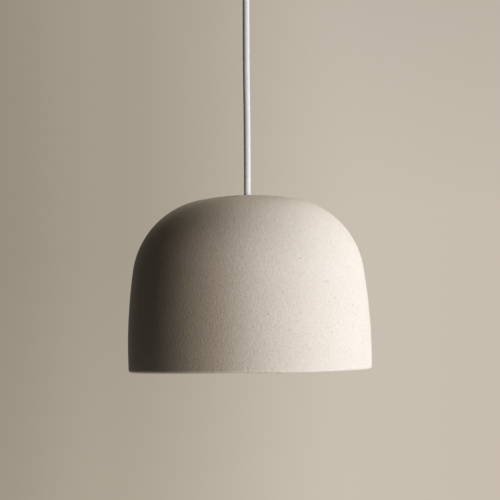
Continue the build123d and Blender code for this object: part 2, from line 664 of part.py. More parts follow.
def bulb_led_board():
    """Aluminium-backed board that closes the bulb's body and carries the LEDs."""
    return rod(LED_BOARD_R, BODY_BOTTOM_Z, BODY_BOTTOM_Z + LED_BOARD_T)


def bulb_leds():
    """Ring of LED packages under the board."""
    led = Pos(LED_RING_R, 0, BODY_BOTTOM_Z - 0.35) * Box(2.8, 3.5, 0.7)
    return Part() + [Rot(0, 0, 360 * index / LED_COUNT) * led for index in range(LED_COUNT)]


def bulb_driver_board():
    """Upright circuit board in the bulb's body."""
    return Pos(0, 0, BODY_BOTTOM_Z + LED_BOARD_T) * Box(17.0, 1.2, 30.0, align=UPRIGHT)


def bulb_driver_parts():
    """Capacitor, choke and bridge on the driver's board."""
    base_z = BODY_BOTTOM_Z + LED_BOARD_T
    capacitor = rod(4.0, base_z + 3, base_z + 15, -3.5, -4.7)
    choke = Pos(3.5, 3.7, base_z + 4) * Box(8, 6, 8, align=UPRIGHT)
    bridge = Pos(2.5, -1.7, base_z + 19) * Box(6, 2, 6, align=UPRIGHT)
    return Part() + [capacitor, choke, bridge]


# ---------------------------------------------------------------- nodes

def nodes():
    """Every separate piece by its name."""
    pieces = {
        "mounting_plate": mounting_plate(),
        "canopy_cup": canopy_cup(),
        "canopy_screws": canopy_screws(),
        "cord_grip_body": cord_grip_body(),
        "cord_grip_washer": cord_grip_washer(),
        "cord_grip_locknut": cord_grip_locknut(),
        "cord_grip_screw": cord_grip_screw(),
        "cable_tail_canopy": cable_tail_canopy(),
        "terminal_block": terminal_block(),
        "terminal_clamps": terminal_clamps(),
        "terminal_screws": terminal_screws(),
        "terminal_fixing_screw": terminal_fixing_screw(),
        "earth_terminal": earth_terminal(),
        "earth_screw": earth_screw(),
        "canopy_conductors": canopy_conductors(),
        "cable_flex_core": cable_flex_core(),
        "cable": cable(),
        "cable_tail_shade": cable_tail_shade(),
        "shade": shade(),
        "shade_gasket": shade_gasket(),
        "support_disc": support_disc(),
        "nipple": nipple(),
        "nipple_locknut": nipple_locknut(),
        "holder_cap": holder_cap(),
        "holder_cap_screw": holder_cap_screw(),
        "cable_clamp_screws": cable_clamp_screws(),
        "holder_core": holder_core(),
        "holder_skirt": holder_skirt(),
        "thread_shell": thread_shell(),
        "centre_contact": centre_contact(),
        "holder_terminals": holder_terminals(),
        "holder_terminal_screws": holder_terminal_screws(),
        "cap_earth_terminal": cap_earth_terminal(),
        "shade_conductors": shade_conductors(),
        "bulb_contact": bulb_contact(),
        "bulb_insulator": bulb_insulator(),
        "bulb_cap_shell": bulb_cap_shell(),
        "bulb_body": bulb_body(),
        "bulb_diffuser": bulb_diffuser(),
        "bulb_led_board": bulb_led_board(),
        "bulb_leds": bulb_leds(),
        "bulb_driver_board": bulb_driver_board(),
        "bulb_driver_parts": bulb_driver_parts(),
    }
    pieces.update(canopy_leads())
    pieces.update(cable_clamp_halves())
    pieces.update(shade_leads())
    return pieces


os.makedirs("parts", exist_ok=True)
for name, piece in nodes().items():
    export_step(piece, f"parts/{name}.step")
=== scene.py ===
import json
import math

import bpy
import numpy as np
from mathutils import Matrix, Vector, noise


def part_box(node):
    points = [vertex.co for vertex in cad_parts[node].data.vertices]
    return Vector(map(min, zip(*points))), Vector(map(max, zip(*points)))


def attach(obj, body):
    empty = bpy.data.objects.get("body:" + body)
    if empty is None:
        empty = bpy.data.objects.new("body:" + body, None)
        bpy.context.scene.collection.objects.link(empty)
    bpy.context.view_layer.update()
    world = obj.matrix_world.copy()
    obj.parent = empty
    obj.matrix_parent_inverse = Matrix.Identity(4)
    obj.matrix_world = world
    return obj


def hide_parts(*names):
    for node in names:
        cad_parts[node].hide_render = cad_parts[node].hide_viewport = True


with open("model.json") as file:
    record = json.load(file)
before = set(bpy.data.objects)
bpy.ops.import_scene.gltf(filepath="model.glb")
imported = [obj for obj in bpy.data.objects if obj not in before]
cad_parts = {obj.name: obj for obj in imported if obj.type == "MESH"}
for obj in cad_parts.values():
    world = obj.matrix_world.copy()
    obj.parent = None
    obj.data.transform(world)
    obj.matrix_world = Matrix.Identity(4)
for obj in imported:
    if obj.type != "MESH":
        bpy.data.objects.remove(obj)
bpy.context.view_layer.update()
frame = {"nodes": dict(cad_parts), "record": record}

# ---------------------------------------------------------------- sizes in metres, angles in degrees

MM = 0.001

SHADE_LOW, SHADE_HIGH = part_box("shade")
SHADE_R = (SHADE_HIGH[0] - SHADE_LOW[0]) / 2
CROWN_Z = SHADE_HIGH[2]
RIM_Z = SHADE_LOW[2]
SHADE_WALL = 5.5 * MM
SIDE_ARC_R = 548 * MM
SIDE_ARC_END = 8.8
SHOULDER_ARC_R = 82.7 * MM
SHOULDER_ARC_END = 79.9
RIM_OUTER_ROUND = 2.8 * MM
RIM_INNER_ROUND = 2.0 * MM
SEAT_R = 26 * MM
CORD_HOLE_R = 3.7 * MM
CORD_HOLE_ROUND = 0.6 * MM
SHADE_STEP = 2.0 * MM
SHADE_SEGMENTS = 320
ARC_STEP_SHARE = 0.3
ARC_STEPS_AT_LEAST = 3

# How the real dome strays from a true one: it leans, its rim has slumped on one side, its wall is uneven.
SHADE_LEAN = 0.92
LEAN_PIVOT_Z = CROWN_Z - 55 * MM
RIM_SAG = 1.4 * MM
RIM_SAG_REACH = 40 * MM
RIM_SAG_START_X = -0.15 * SHADE_R
RIM_SAG_FULL_X = 0.45 * SHADE_R
BROAD_SWELL = 0.22 * MM
BROAD_SWELLS_PER_M = 14
CLOSE_SWELL = 0.05 * MM
CLOSE_SWELLS_PER_M = 55
CLOSE_SWELL_SHIFT = Vector((7, 3, 1))

# The cable's route is the CAD model's, in metres.
CABLE_R = 3.3 * MM
CABLE_ROUTE = [
    (0.0, 0.0, -0.037),
    (-0.00045, 0.0, -0.122),
    (0.00035, 0.0, -0.190),
    (0.0, 0.0, -0.255),
]
CABLE_CARRIERS = 14
CABLE_CELL = 1.35 * MM
CABLE_RELIEF = 0.12 * MM
CABLE_AROUND = 112
CABLE_STEP = 0.3 * MM
YARN_ROUNDNESS = 0.6
YARN_UNDER_HEIGHT = 0.45
NURBS_ORDER = 3
NURBS_STEPS = 64

# ---------------------------------------------------------------- camera, lights, stage

CAMERA_DISTANCE = 3.0
VIEW_WIDTH = 0.493
VIEW_CENTRE = Vector((2.4 * MM, 0.0, RIM_Z + 118.3 * MM))
CAMERA_ABOVE_RIM = 71 * MM
CAMERA_ROLL = 0.36
SENSOR = 36.0

BACKDROP_R = 6.0
FLOOR_R = 5.4
FLOOR_Z = -2.4
BACKDROP_LEFT_X = -0.78
BACKDROP_RIGHT_X = 0.72
# The backdrop's painted light, darker on the left and paler on the right: each colour with its share of the
# way across.
BACKDROP_PAINTED_TONES = [
    (0.0, (0.313, 0.270, 0.216)),
    (0.24, (0.376, 0.330, 0.266)),
    (0.75, (0.584, 0.518, 0.440)),
    (1.0, (0.576, 0.509, 0.431)),
]
FLOOR_TONE = (0.62, 0.57, 0.5)
FLOOR_EDGE_TONE = (0.45, 0.40, 0.335)
FLOOR_FADE_FROM = 1.0
FLOOR_FADE_TO = 5.3

LIGHT_DISTANCE = 3.0
# Each light's name, azimuth and elevation in degrees, size in metres, power in watts and colour.
LIGHTS = [
    ("side_light", 72, 2, 1.2, 97, (0.69, 0.82, 1.0)),
    ("front_light", 46, 4, 1.2, 64, (1.0, 0.90, 0.78)),
    ("rim_light", 146, 42, 1.6, 46, (1.0, 0.94, 0.78)),
    ("bounce_light", 60, -80, 1.5, 40, (1.0, 0.98, 0.94)),
    ("far_light", 200, 4, 1.4, 8, (1.0, 0.96, 0.9)),
]
ROOM_LIGHT = (0.036, 0.034, 0.029)
ROOM_IN_GLOSS = (0.30, 0.28, 0.25)

# Numbered sockets of a Mix node in colour mode.
MIX_FIRST = 6
MIX_SECOND = 7
MIX_RESULT = 2


def make_camera():
    """Long-lens camera just above the rim's level, rolled very slightly."""
    data = bpy.data.cameras.new("camera")
    data.sensor_width = SENSOR
    data.lens = SENSOR * CAMERA_DISTANCE / VIEW_WIDTH
    camera = bpy.data.objects.new("camera", data)
    bpy.context.scene.collection.objects.link(camera)
    place = Vector((VIEW_CENTRE.x, -CAMERA_DISTANCE, RIM_Z + CAMERA_ABOVE_RIM))
    aim = (VIEW_CENTRE - place).to_track_quat("-Z", "Y")
    roll = Matrix.Rotation(math.radians(-CAMERA_ROLL), 4, "Z")
    camera.matrix_world = Matrix.Translation(place) @ aim.to_matrix().to_4x4() @ roll
    bpy.context.scene.camera = camera


def towards(azimuth, elevation):
    """Unit vector from the lamp. Azimuth 0 is the camera's side and 90 is its right."""
    a, e = math.radians(azimuth), math.radians(elevation)
    return Vector((math.sin(a) * math.cos(e), -math.cos(a) * math.cos(e), math.sin(e)))


def softbox(name, azimuth, elevation, size, energy, colour):
    """Square light aimed at the middle of the shade, and not seen by the camera itself."""
    data = bpy.data.lights.new(name, "AREA")
    data.shape = "SQUARE"
    data.size = size
    data.energy = energy
    data.color = colour
    light = bpy.data.objects.new(name, data)
    bpy.context.scene.collection.objects.link(light)
    target = Vector((0, 0, (RIM_Z + CROWN_Z) / 2))
    way = towards(azimuth, elevation)
    light.matrix_world = (Matrix.Translation(target + way * LIGHT_DISTANCE)
                          @ way.to_track_quat("Z", "Y").to_matrix().to_4x4())
    light.visible_camera = False


def camera_only(thing):
    """Seen by the camera, but neither lighting nor shading the lamp."""
    thing.visible_diffuse = False
    thing.visible_glossy = False
    thing.visible_transmission = False
    thing.visible_volume_scatter = False
    thing.visible_shadow = False


def make_stage():
    """A wide floor under the lamp and a plain backdrop all round it, with painted light that makes it paler
    to the right.
    """
    bpy.ops.mesh.primitive_uv_sphere_add(segments=96, ring_count=48, radius=BACKDROP_R)
    backdrop = bpy.context.object
    backdrop.name = "backdrop"
    for polygon in backdrop.data.polygons:
        polygon.use_smooth = True
    backdrop.data.materials.append(backdrop_painted_light())
    camera_only(backdrop)

    bpy.ops.mesh.primitive_circle_add(vertices=128, radius=FLOOR_R, fill_type="NGON",
                                      location=(0, 0, FLOOR_Z))
    floor = bpy.context.object
    floor.name = "floor"
    floor.data.materials.append(floor_paint())
    camera_only(floor)


def make_lights():
    """Two soft lights low on the right, weaker ones behind, below and on the far side, hardly any fill."""
    for light in LIGHTS:
        softbox(*light)
    bpy.context.scene.world = studio_world()
    bpy.context.scene.view_settings.view_transform = "Standard"


def studio_world():
    """Dim warm room light, with a paler room for gloss to mirror."""
    world = bpy.data.worlds.new("studio")
    world.use_nodes = True
    tree = world.node_tree
    background = tree.nodes["Background"]
    mirrored = tree.nodes.new("ShaderNodeLightPath").outputs["Is Glossy Ray"]
    room = tree.nodes.new("ShaderNodeMix")
    room.data_type = "RGBA"
    room.inputs[MIX_FIRST].default_value = (*ROOM_LIGHT, 1)
    room.inputs[MIX_SECOND].default_value = (*ROOM_IN_GLOSS, 1)
    tree.links.new(mirrored, room.inputs["Factor"])
    tree.links.new(room.outputs[MIX_RESULT], background.inputs["Color"])
    return world


# ---------------------------------------------------------------- material helpers

NOISE_LOW = 0.3
NOISE_HIGH = 0.7


class Shader:
    """A material's node tree, with short calls for what the materials below share."""

    def __init__(self, name, colour, roughness, metallic=0.0, specular=0.5):
        self.material = bpy.data.materials.new(name)
        self.material.use_nodes = True
        self.tree = self.material.node_tree
        self.skin = self.tree.nodes["Principled BSDF"]
        self.skin.inputs["Base Color"].default_value = (*colour, 1)
        self.skin.inputs["Roughness"].default_value = roughness
        self.skin.inputs["Metallic"].default_value = metallic
        self.skin.inputs["Specular IOR Level"].default_value = specular
        self.colour = colour
        self.place = self.node("ShaderNodeTexCoord").outputs["Object"]
        self.bumps = []

    def node(self, kind, **settings):
        """Add a node; settings are its own properties or, for an input, its value."""
        made = self.tree.nodes.new(kind)
        for key, value in settings.items():
            if hasattr(made, key):
                setattr(made, key, value)
            else:
                made.inputs[key.replace("_", " ")].default_value = value
        return made

    def link(self, source, target):
        """Join an output to an input."""
        self.tree.links.new(source, target)

    def stretched(self, scale):
        """Object coordinates, scaled differently along each axis."""
        mapping = self.node("ShaderNodeMapping")
        mapping.inputs["Scale"].default_value = scale
        self.link(self.place, mapping.inputs["Vector"])
        return mapping.outputs["Vector"]

    def noise(self, size, detail=2.0, roughness=0.5, stretch=(1, 1, 1)):
        """Noise mostly between NOISE_LOW and NOISE_HIGH, with features of a size in metres."""
        made = self.node("ShaderNodeTexNoise", Detail=detail, Roughness=roughness, Scale=1.0 / size)
        self.link(self.stretched(stretch), made.inputs["Vector"])
        return made.outputs["Fac"]

    def remap(self, value, low, high, to_low, to_high):
        """Linear change of range, clamped."""
        made = self.node("ShaderNodeMapRange")
        for key, number in (("From Min", low), ("From Max", high), ("To Min", to_low), ("To Max", to_high)):
            made.inputs[key].default_value = number
        self.link(value, made.inputs["Value"])
        return made.outputs["Result"]

    def math(self, operation, first, second):
        """One Math node; either input may be a number."""
        made = self.node("ShaderNodeMath", operation=operation)
        for index, value in enumerate((first, second)):
            if isinstance(value, (int, float)):
                made.inputs[index].default_value = value
            else:
                self.link(value, made.inputs[index])
        return made.outputs["Value"]

    def blend_colour(self, amount, first, second):
        """Mix of two colours; either may be another mix's output."""
        made = self.node("ShaderNodeMix", data_type="RGBA")
        self.link(amount, made.inputs["Factor"])
        for socket, value in ((made.inputs[MIX_FIRST], first), (made.inputs[MIX_SECOND], second)):
            if isinstance(value, tuple):
                socket.default_value = (*value, 1)
            else:
                self.link(value, socket)
        return made.outputs[MIX_RESULT]

    def tone(self, value, darker, lighter, low=NOISE_LOW, high=NOISE_HIGH):
        """Vary the base colour between two brightnesses with a texture."""
        dark = tuple(channel * darker for channel in self.colour)
        light = tuple(min(1.0, channel * lighter) for channel in self.colour)
        return self.blend_colour(self.remap(value, low, high, 0, 1), dark, light)

    def paint(self, colour):
        """Drive the base colour."""
        self.link(colour, self.skin.inputs["Base Color"])

    def rough(self, value, smooth, coarse, low=NOISE_LOW, high=NOISE_HIGH):
        """Vary the roughness with a texture."""
        self.link(self.remap(value, low, high, smooth, coarse), self.skin.inputs["Roughness"])

    def bump(self, height, depth):
        """Add relief of a depth in metres to any relief added before."""
        made = self.node("ShaderNodeBump")
        made.inputs["Strength"].default_value = 1.0
        made.inputs["Distance"].default_value = depth
        self.link(height, made.inputs["Height"])
        if self.bumps:
            self.link(self.bumps[-1], made.inputs["Normal"])
        self.bumps.append(made.outputs["Normal"])
        self.link(made.outputs["Normal"], self.skin.inputs["Normal"])


# ---------------------------------------------------------------- stage materials

def backdrop_painted_light():
    """Warm grey backdrop with painted light: an emitted gradient, paler towards +X as if lit from the
    right, painted dimmer top right and brighter low left.
    """
    shader = Shader("backdrop_painted_light", (0.5, 0.45, 0.4), 1.0)
    split = shader.node("ShaderNodeSeparateXYZ")
    shader.link(shader.place, split.inputs["Vector"])
    across = shader.remap(split.outputs["X"], BACKDROP_LEFT_X, BACKDROP_RIGHT_X, 0.0, 1.0)
    # Painted light: the colour ramp runs from darker on the left to paler on the right, as if lit from the
    # right.
    ramp = shader.node("ShaderNodeValToRGB")
    ramp.color_ramp.interpolation = "EASE"
    stops = ramp.color_ramp.elements
    ready = len(stops)
    for index, (position, colour) in enumerate(BACKDROP_PAINTED_TONES):
        stop = stops[index] if index < ready else stops.new(position)
        stop.position = position
        stop.color = (*colour, 1)
    shader.link(across, ramp.inputs["Fac"])
    # Painted light and shade: the glow is painted dimmer at the top right and brighter at the low left.
    strength = shader.node("ShaderNodeMix", data_type="FLOAT")
    shader.link(shader.remap(across, 0.35, 0.75, 0.0, 1.0), strength.inputs["Factor"])
    shader.link(shader.remap(split.outputs["Z"], -0.95, -0.25, 1.12, 1.0), strength.inputs["A"])
    shader.link(shader.remap(split.outputs["Z"], -0.10, 0.52, 1.0, 0.88), strength.inputs["B"])
    glow = shader.node("ShaderNodeEmission")
    shader.link(ramp.outputs["Color"], glow.inputs["Color"])
    shader.link(strength.outputs["Result"], glow.inputs["Strength"])
    shader.link(glow.outputs["Emission"], shader.tree.nodes["Material Output"].inputs["Surface"])
    return shader.material


def floor_paint():
    """Pale floor, evenly lit, fading into the backdrop at its edge, and open to a view from below."""
    shader = Shader("floor_paint", FLOOR_TONE, 0.9)
    radius = shader.node("ShaderNodeVectorMath", operation="LENGTH")
    shader.link(shader.place, radius.inputs[0])
    edge = shader.remap(radius.outputs["Value"], FLOOR_FADE_FROM, FLOOR_FADE_TO, 0.0, 1.0)
    patch = shader.tone(shader.noise(0.5, 3), 0.98, 1.02)
    glow = shader.node("ShaderNodeEmission")
    shader.link(shader.blend_colour(edge, patch, FLOOR_EDGE_TONE), glow.inputs["Color"])
    below = shader.node("ShaderNodeBsdfTransparent")
    sides = shader.node("ShaderNodeMixShader")
    shader.link(shader.node("ShaderNodeNewGeometry").outputs["Backfacing"], sides.inputs["Fac"])
    shader.link(glow.outputs["Emission"], sides.inputs[1])
    shader.link(below.outputs["BSDF"], sides.inputs[2])
    shader.link(sides.outputs["Shader"], shader.tree.nodes["Material Output"].inputs["Surface"])
    return shader.material


# ---------------------------------------------------------------- the lamp's materials

DUST_COLOUR = (0.30, 0.25, 0.205)
DUST_SHARE = 0.26
SPECK_COLOUR = (0.16, 0.125, 0.10)
SPECK_SHARE = 0.48
SPECK_WOBBLES_PER_CELL = 2.4
SPECK_WOBBLE = 0.5
SPECK_CHOICE_BLUR = 0.06
FAINTEST_SPECK = 0.35


def stoneware():
    """Unglazed greige stoneware: sandy mottling, fine dark dust, sparse sunken iron specks, grainy."""
    shader = Shader("stoneware", (0.62, 0.548, 0.473), 0.9, specular=0.25)
    cloud = shader.noise(38 * MM, 3)
    sand = shader.noise(2.0 * MM, 3, 0.7)
    body = shader.blend_colour(shader.remap(sand, 0.34, 0.66, 0, 1),
                               shader.tone(cloud, 0.935, 0.965),
                               shader.tone(cloud, 1.02, 1.05))
    dust = speck_mask(shader, 1.9 * MM, 0.20, 0.15, 0.50)
    specks = speck_mask(shader, 3.4 * MM, 0.72, 0.13, 0.25)
    dusted = shader.blend_colour(shader.math("MULTIPLY", dust, DUST_SHARE), body, DUST_COLOUR)
    shader.paint(shader.blend_colour(shader.math("MULTIPLY", specks, SPECK_SHARE), dusted, SPECK_COLOUR))
    shader.rough(sand, 0.84, 0.97, 0.35, 0.65)
    shader.bump(shader.noise(6 * MM, 2), 0.12 * MM)
    shader.bump(shader.noise(2.6 * MM, 3, 0.65), 0.26 * MM)
    shader.bump(sand, 0.20 * MM)
    shader.bump(shader.math("SUBTRACT", 1.0, specks), 0.06 * MM)
    return shader.material


def speck_mask(shader, spacing, share, core, edge):
    """Up to 1 inside small irregular spots, each in a cell of a jittered grid.

    share is the part of the cells left empty. A spot is full within core of its middle, and ends at edge,
    both counted in cells.
    """
    cells = shader.node("ShaderNodeTexVoronoi", feature="F1", Scale=1.0 / spacing, Randomness=1.0)
    wobble = shader.node("ShaderNodeTexNoise", Scale=SPECK_WOBBLES_PER_CELL / spacing, Detail=2.0)
    bent = shader.node("ShaderNodeVectorMath", operation="MULTIPLY_ADD")
    shader.link(shader.place, wobble.inputs["Vector"])
    shader.link(wobble.outputs["Color"], bent.inputs[0])
    bent.inputs[1].default_value = (spacing * SPECK_WOBBLE,) * 3
    shader.link(shader.place, bent.inputs[2])
    shader.link(bent.outputs["Vector"], cells.inputs["Vector"])
    spot = shader.remap(cells.outputs["Distance"], core, edge, 1, 0)
    split = shader.node("ShaderNodeSeparateColor")
    shader.link(cells.outputs["Color"], split.inputs["Color"])
    chosen = shader.remap(split.outputs["Red"], share, share + SPECK_CHOICE_BLUR, 0, 1)
    strength = shader.remap(split.outputs["Green"], 0, 1, FAINTEST_SPECK, 1)
    return shader.math("MULTIPLY", shader.math("MULTIPLY", spot, chosen), strength)


def braided_textile():
    """White braided rayon: soft sheen, faint thread grain and slightly greyer yarn here and there."""
    shader = Shader("braided_textile", (0.71, 0.71, 0.715), 0.62, specular=0.35)
    shader.skin.inputs["Diffuse Roughness"].default_value = 0.7
    shader.skin.inputs["Sheen Weight"].default_value = 0.35
    shader.skin.inputs["Sheen Roughness"].default_value = 0.4
    shader.skin.inputs["Sheen Tint"].default_value = (1, 1, 1, 1)
    threads = shader.noise(0.35 * MM, 2, 0.6, (1.4, 1.4, 0.5))
    shader.paint(shader.tone(threads, 0.93, 1.05, 0.35, 0.65))
    shader.rough(threads, 0.55, 0.72, 0.35, 0.65)
    shader.bump(threads, 0.05 * MM)
    return shader.material


def powder_coat(name, colour):
    """Matte powder coat with a fine orange-peel texture."""
    shader = Shader(name, colour, 0.55, specular=0.4)
    peel = shader.noise(0.9 * MM, 2)
    shader.paint(shader.tone(shader.noise(15 * MM, 2), 0.98, 1.02))
    shader.rough(peel, 0.46, 0.64)
    shader.bump(peel, 0.035 * MM)
    return shader.material


def zinc_plate():
    """Zinc-plated steel: cool grey, cloudy, with faint rolling lines."""
    shader = Shader("zinc_plate", (0.58, 0.59, 0.60), 0.34, metallic=1.0)
    cloud = shader.noise(5 * MM, 4, 0.6)
    lines = shader.noise(0.6 * MM, 2, 0.5, (0.12, 1, 1))
    shader.paint(shader.tone(cloud, 0.86, 1.08))
    shader.rough(lines, 0.26, 0.44)
    shader.bump(lines, 0.01 * MM)
    return shader.material


def plated_screw_shell():
    """Bright nickel over brass, with faint drawing lines around it."""
    shader = Shader("plated_screw_shell", (0.70, 0.67, 0.62), 0.2, metallic=1.0)
    wear = shader.noise(3 * MM, 3)
    lines = shader.noise(0.5 * MM, 2, 0.5, (0.3, 0.3, 2.5))
    shader.paint(shader.tone(wear, 0.9, 1.06))
    shader.rough(lines, 0.14, 0.3)
    return shader.material


def bare_metal(name, colour, roughness):
    """Brass or copper, a little dulled in patches."""
    shader = Shader(name, colour, roughness, metallic=1.0)
    patch = shader.noise(2.5 * MM, 3)
    shader.paint(shader.tone(patch, 0.8, 1.05))
    shader.rough(patch, roughness * 1.3, roughness * 0.8)
    return shader.material


def moulded(name, colour, roughness, specular=0.5):
    """Moulded plastic, rubber or insulation with a faint spark-eroded texture."""
    shader = Shader(name, colour, roughness, specular=specular)
    texture = shader.noise(0.5 * MM, 2)
    shader.paint(shader.tone(shader.noise(8 * MM, 2), 0.96, 1.03))
    shader.rough(texture, roughness * 0.9, min(1.0, roughness * 1.15))
    shader.bump(texture, 0.012 * MM)
    return shader.material


def earth_insulation():
    """Green insulation with a yellow stripe wound round it."""
    shader = Shader("earth_insulation", (0.10, 0.33, 0.06), 0.45)
    stripe = shader.node("ShaderNodeTexWave", Scale=60.0, Distortion=0.5)
    shader.link(shader.stretched((1, 1, 1.6)), stripe.inputs["Vector"])
    shader.paint(shader.blend_colour(shader.remap(stripe.outputs["Fac"], 0.5, 0.6, 0, 1),
                                     shader.colour, (0.80, 0.66, 0.05)))
    return shader.material


def glazed_porcelain():
    """White glazed porcelain with slight unevenness in the glaze."""
    shader = Shader("glazed_porcelain", (0.84, 0.82, 0.78), 0.18, specular=0.6)
    wave = shader.noise(6 * MM, 2)
    shader.paint(shader.tone(wave, 0.97, 1.03))
    shader.rough(wave, 0.14, 0.24)
    shader.bump(wave, 0.06 * MM)
    return shader.material


def opal_plastic():
    """Opal polycarbonate diffuser, unlit: milky, with a soft gloss."""
    shader = Shader("opal_plastic", (0.88, 0.87, 0.84), 0.32)
    shader.skin.inputs["Subsurface Weight"].default_value = 0.25
    shader.skin.inputs["Subsurface Radius"].default_value = (4 * MM, 3.5 * MM, 3 * MM)
    shader.skin.inputs["Subsurface Scale"].default_value = 1.0
    haze = shader.noise(9 * MM, 2)
    shader.paint(shader.tone(haze, 0.985, 1.015))
    shader.rough(haze, 0.29, 0.36)
    return shader.material


def circuit_board():
    """Green solder mask with darker tracks under it."""
    shader = Shader("circuit_board", (0.03, 0.16, 0.07), 0.35)
    tracks = shader.node("ShaderNodeTexBrick", Scale=220.0, Mortar_Size=0.08)
    shader.link(shader.place, tracks.inputs["Vector"])
    shader.paint(shader.tone(tracks.outputs["Fac"], 1.0, 1.7, 0, 1))
    return shader.material


def led_phosphor():
    """Yellow phosphor in a white package."""
    shader = Shader("led_phosphor", (0.80, 0.62, 0.16), 0.4)
    shader.paint(shader.tone(shader.noise(0.4 * MM, 2), 0.93, 1.05))
    return shader.material


def lamp_materials():
    """Blender material for each of the record's material slots."""
    return {
        "stoneware": stoneware(),
        "textile_cable": braided_textile(),
        "cable_core": moulded("cable_core", (0.02, 0.02, 0.02), 0.6),
        "canopy_paint": powder_coat("canopy_paint", (0.56, 0.50, 0.44)),
        "holder_paint": powder_coat("holder_paint", (0.74, 0.72, 0.68)),
        "zinc_steel": zinc_plate(),
        "terminal_plastic": moulded("terminal_plastic", (0.72, 0.71, 0.66), 0.5),
        "brass": bare_metal("brass", (0.72, 0.52, 0.22), 0.28),
        "copper": bare_metal("copper", (0.72, 0.36, 0.20), 0.35),
        "brown_insulation": moulded("brown_insulation", (0.11, 0.045, 0.02), 0.45),
        "blue_insulation": moulded("blue_insulation", (0.03, 0.12, 0.42), 0.45),
        "earth_insulation": earth_insulation(),
        "silicone": moulded("silicone", (0.70, 0.70, 0.68), 0.6),
        "porcelain": glazed_porcelain(),
        "nickel": plated_screw_shell(),
        "black_glass": moulded("black_glass", (0.012, 0.012, 0.013), 0.15, 0.6),
        "bulb_plastic": moulded("bulb_plastic", (0.80, 0.80, 0.78), 0.42),
        "opal_plastic": opal_plastic(),
        "aluminium_board": moulded("aluminium_board", (0.82, 0.82, 0.80), 0.4),
        "led_package": led_phosphor(),
        "circuit_board": circuit_board(),
        "component_black": moulded("component_black", (0.02, 0.02, 0.022), 0.4),
    }


# ---------------------------------------------------------------- shade

def arc_points(centre, radius, start, end):
    """Points along an arc in (radius, height), angles in degrees, without its last point."""
    length = abs(math.radians(end - start)) * radius
    count = max(ARC_STEPS_AT_LEAST, math.ceil(length / min(SHADE_STEP, radius * ARC_STEP_SHARE)))
    angles = np.radians(np.linspace(start, end, count + 1)[:-1])
    return [(centre[0] + radius * math.cos(a), centre[1] + radius * math.sin(a)) for a in angles]


def line_points(start, end):
    """Points along a straight stretch, without its last point."""
    count = max(1, math.ceil(math.dist(start, end) / SHADE_STEP))
    return [tuple(np.array(start) + (np.array(end) - start) * i / count) for i in range(count)]


def shade_outline():
    """Closed outline of the wall, from the hole over the outside to the rim and back up the inside."""
    side_x = SHADE_R - SIDE_ARC_R
    shoulder_x = side_x + (SIDE_ARC_R - SHOULDER_ARC_R) * math.cos(math.radians(SIDE_ARC_END))
    crown_r = SHOULDER_ARC_R + shoulder_x / math.cos(math.radians(SHOULDER_ARC_END))
    crown = (0, CROWN_Z - crown_r)
    shoulder = (shoulder_x,
                crown[1] + (crown_r - SHOULDER_ARC_R) * math.sin(math.radians(SHOULDER_ARC_END)))
    side = (side_x,
            shoulder[1] - (SIDE_ARC_R - SHOULDER_ARC_R) * math.sin(math.radians(SIDE_ARC_END)))

    def angle_at_height(radius, height):
        return math.degrees(math.asin((height - side[1]) / radius))

    def angle_at_radius(radius, x):
        return math.degrees(math.acos(x / radius))

    inner_side_r = SIDE_ARC_R - SHADE_WALL
    inner_crown_r = crown_r - SHADE_WALL
    outer_foot = angle_at_height(SIDE_ARC_R, RIM_Z + RIM_OUTER_ROUND)
    inner_foot = angle_at_height(inner_side_r, RIM_Z + RIM_INNER_ROUND)
    outer_rim_x = side[0] + SIDE_ARC_R * math.cos(math.radians(outer_foot))
    inner_rim_x = side[0] + inner_side_r * math.cos(math.radians(inner_foot))
    hole_mouth = CORD_HOLE_R + CORD_HOLE_ROUND
    seat_z = crown[1] + math.sqrt(inner_crown_r ** 2 - SEAT_R ** 2)

    return (arc_points((hole_mouth, CROWN_Z - CORD_HOLE_ROUND), CORD_HOLE_ROUND, 180, 90)
            + arc_points(crown, crown_r, angle_at_radius(crown_r, hole_mouth), SHOULDER_ARC_END)
            + arc_points(shoulder, SHOULDER_ARC_R, SHOULDER_ARC_END, SIDE_ARC_END)
            + arc_points(side, SIDE_ARC_R, SIDE_ARC_END, outer_foot)
            + arc_points((outer_rim_x - RIM_OUTER_ROUND, RIM_Z + RIM_OUTER_ROUND), RIM_OUTER_ROUND, 0, -90)
            + arc_points((inner_rim_x + RIM_INNER_ROUND, RIM_Z + RIM_INNER_ROUND), RIM_INNER_ROUND,
                         -90, -180)
            + arc_points(side, inner_side_r, inner_foot, SIDE_ARC_END)
            + arc_points(shoulder, SHOULDER_ARC_R - SHADE_WALL, SIDE_ARC_END, SHOULDER_ARC_END)
            + arc_points(crown, inner_crown_r, SHOULDER_ARC_END, angle_at_radius(inner_crown_r, SEAT_R))
            + line_points((SEAT_R, seat_z), (CORD_HOLE_R, seat_z))
            + line_points((CORD_HOLE_R, seat_z), (CORD_HOLE_R, CROWN_Z - CORD_HOLE_ROUND)))


def grid_mesh(name, points, close_rows):
    """Mesh over a grid of points. The last column joins the first, and the rows join or get end caps."""
    rows, columns = points.shape[:2]
    index = np.arange(rows * columns).reshape(rows, columns)
    lower = index if close_rows else index[:-1]
    upper = np.roll(index, -1, axis=0) if close_rows else index[1:]
    faces = np.stack([lower, np.roll(lower, -1, axis=1), np.roll(upper, -1, axis=1), upper], axis=-1)
    faces = [tuple(face) for face in faces.reshape(-1, 4).tolist()]
    if not close_rows:
        faces.append(tuple(index[0][::-1].tolist()))
        faces.append(tuple(index[-1].tolist()))
    mesh = bpy.data.meshes.new(name)
    mesh.from_pydata(points.reshape(-1, 3).tolist(), [], faces)
    mesh.update()
    for polygon in mesh.polygons:
        polygon.use_smooth = len(polygon.vertices) == 4
    thing = bpy.data.objects.new(name, mesh)
    bpy.context.scene.collection.objects.link(thing)
    return thing


